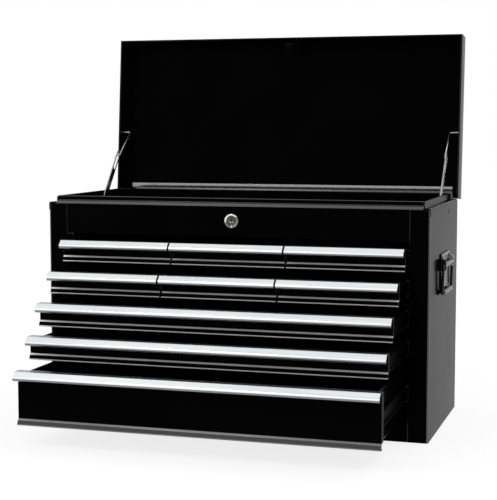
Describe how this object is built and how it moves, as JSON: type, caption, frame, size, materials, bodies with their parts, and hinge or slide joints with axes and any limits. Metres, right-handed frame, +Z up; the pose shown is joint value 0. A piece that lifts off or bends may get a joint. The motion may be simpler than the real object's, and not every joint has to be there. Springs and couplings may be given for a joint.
{
  "type": "machinist tool chest",
  "caption": "Sheet steel tool chest with a lidded till over rows of sliding drawers, full width aluminium pulls, a piano-hinged lid on slotted stays, a cam lock and side handles.",
  "frame": {"origin": "middle of the underside, at mid width and mid depth of the cabinet", "axes": "+X to the right as seen from the front, +Y to the rear, +Z up; the drawers open towards -Y"},
  "size_m": [0.6802, 0.5902, 0.6719],
  "materials": {
    "cabinet_enamel": "glossy black baked enamel",
    "drawer_enamel": "glossy black baked enamel",
    "pull_aluminium": "bright anodised extrusion",
    "slide_steel": "zinc plated rolled steel",
    "zinc_steel": "dull zinc plate",
    "lock_chrome": "turned and plated",
    "handle_plastic": "black, slightly glossy coating"
  },
  "bodies": {
    "cabinet": {"side_panel_left": "cabinet_enamel", "side_panel_right": "cabinet_enamel", "header_panel": "cabinet_enamel", "back_panel": "cabinet_enamel", "bottom_pan": "cabinet_enamel", "base_rail": "cabinet_enamel", "till_floor": "cabinet_enamel", "divider_shelf": "cabinet_enamel", "partition_left": "cabinet_enamel", "partition_right": "cabinet_enamel", "slide_rack_left": "slide_steel", "slide_rack_right": "slide_steel", "hinge_leaf_body": "zinc_steel", "hinge_pin": "zinc_steel", "stay_rivet_left": "zinc_steel", "stay_rivet_right": "zinc_steel", "lock_barrel": "lock_chrome", "lock_nut": "zinc_steel", "handle_plate_left": "cabinet_enamel", "handle_plate_right": "cabinet_enamel"},
    "drawer_top_left": {"drawer_top_left": "drawer_enamel", "pull_top_left": "pull_aluminium"},
    "drawer_top_centre": {"drawer_top_centre": "drawer_enamel", "pull_top_centre": "pull_aluminium"},
    "drawer_top_right": {"drawer_top_right": "drawer_enamel", "pull_top_right": "pull_aluminium"},
    "drawer_second_left": {"drawer_second_left": "drawer_enamel", "pull_second_left": "pull_aluminium"},
    "drawer_second_centre": {"drawer_second_centre": "drawer_enamel", "pull_second_centre": "pull_aluminium"},
    "drawer_second_right": {"drawer_second_right": "drawer_enamel", "pull_second_right": "pull_aluminium"},
    "drawer_third": {"drawer_third": "drawer_enamel", "pull_third": "pull_aluminium", "runner_third_left": "slide_steel", "runner_third_right": "slide_steel"},
    "drawer_fourth": {"drawer_fourth": "drawer_enamel", "pull_fourth": "pull_aluminium", "runner_fourth_left": "slide_steel", "runner_fourth_right": "slide_steel"},
    "drawer_bottom": {"drawer_bottom": "drawer_enamel", "pull_bottom": "pull_aluminium", "runner_bottom_left": "slide_steel", "runner_bottom_right": "slide_steel"},
    "lid": {"lid_shell": "cabinet_enamel", "lid_rear_stiffener": "zinc_steel", "lid_strike": "cabinet_enamel", "hinge_leaf_lid": "zinc_steel"},
    "stay_strip_left": {"stay_strip_left": "zinc_steel"},
    "stay_rod_left": {"stay_rod_left": "zinc_steel"},
    "stay_strip_right": {"stay_strip_right": "zinc_steel"},
    "stay_rod_right": {"stay_rod_right": "zinc_steel"},
    "lock": {"lock_plug": "lock_chrome", "lock_cam": "zinc_steel"},
    "handle_left": {"handle_bail_left": "handle_plastic", "handle_grip_left": "handle_plastic"},
    "handle_right": {"handle_bail_right": "handle_plastic", "handle_grip_right": "handle_plastic"}
  },
  "joints": [
    {"name": "drawer_top_left_slide", "type": "slide", "parent": "cabinet", "child": "drawer_top_left", "axis": [0, -1, 0], "range_m": [-0.02001, 0.20999]},
    {"name": "drawer_top_centre_slide", "type": "slide", "parent": "cabinet", "child": "drawer_top_centre", "axis": [0, -1, 0], "range_m": [-0.02001, 0.20999]},
    {"name": "drawer_top_right_slide", "type": "slide", "parent": "cabinet", "child": "drawer_top_right", "axis": [0, -1, 0], "range_m": [-0.02001, 0.20999]},
    {"name": "drawer_second_left_slide", "type": "slide", "parent": "cabinet", "child": "drawer_second_left", "axis": [0, -1, 0], "range_m": [-0.06992, 0.16008]},
    {"name": "drawer_second_centre_slide", "type": "slide", "parent": "cabinet", "child": "drawer_second_centre", "axis": [0, -1, 0], "range_m": [-0.06992, 0.16008]},
    {"name": "drawer_second_right_slide", "type": "slide", "parent": "cabinet", "child": "drawer_second_right", "axis": [0, -1, 0], "range_m": [-0.06992, 0.16008]},
    {"name": "drawer_third_slide", "type": "slide", "parent": "cabinet", "child": "drawer_third", "axis": [0, -1, 0], "range_m": [-0.115, 0.115]},
    {"name": "drawer_fourth_slide", "type": "slide", "parent": "cabinet", "child": "drawer_fourth", "axis": [0, -1, 0], "range_m": [-0.15203, 0.07797]},
    {"name": "drawer_bottom_slide", "type": "slide", "parent": "cabinet", "child": "drawer_bottom", "axis": [0, -1, 0], "range_m": [-0.19803, 0.03197]},
    {"name": "lid_hinge", "type": "hinge", "parent": "cabinet", "child": "lid", "pos_m": [0, 0.1513, 0.3746], "axis": [1, 0, 0], "range_deg": [0, 95]},
    {"name": "stay_strip_left_pivot", "type": "hinge", "parent": "cabinet", "child": "stay_strip_left", "pos_m": [-0.3129, 0.0445, 0.362], "axis": [1, 0, 0], "range_deg": [0, 119.5]},
    {"name": "stay_rod_left_pivot", "type": "hinge", "parent": "lid", "child": "stay_rod_left", "pos_m": [-0.3294, 0.17894, 0.49545], "axis": [1, 0, 0], "range_deg": [-121.8, 0]},
    {"name": "stay_strip_right_pivot", "type": "hinge", "parent": "cabinet", "child": "stay_strip_right", "pos_m": [0.3129, 0.0445, 0.362], "axis": [1, 0, 0], "range_deg": [0, 119.5]},
    {"name": "stay_rod_right_pivot", "type": "hinge", "parent": "lid", "child": "stay_rod_right", "pos_m": [0.3294, 0.17894, 0.49545], "axis": [1, 0, 0], "range_deg": [-121.8, 0]},
    {"name": "lock_turn", "type": "hinge", "parent": "cabinet", "child": "lock", "pos_m": [0, -0.1355, 0.351], "axis": [0, 1, 0], "range_deg": [0, 90]},
    {"name": "handle_left_swing", "type": "hinge", "parent": "cabinet", "child": "handle_left", "pos_m": [-0.3361, 0.0005, 0.277], "axis": [0, 1, 0], "range_deg": [0, 95]},
    {"name": "handle_right_swing", "type": "hinge", "parent": "cabinet", "child": "handle_right", "pos_m": [0.3361, 0.0005, 0.277], "axis": [0, -1, 0], "range_deg": [0, 95]}
  ],
  "couplings": [
    {"joint": "stay_strip_left_pivot", "follows": "lid_hinge", "ratio": 1.2556},
    {"joint": "stay_rod_left_pivot", "follows": "lid_hinge", "ratio": -1.2801},
    {"joint": "stay_strip_right_pivot", "follows": "lid_hinge", "ratio": 1.2556},
    {"joint": "stay_rod_right_pivot", "follows": "lid_hinge", "ratio": -1.2801}
  ]
}
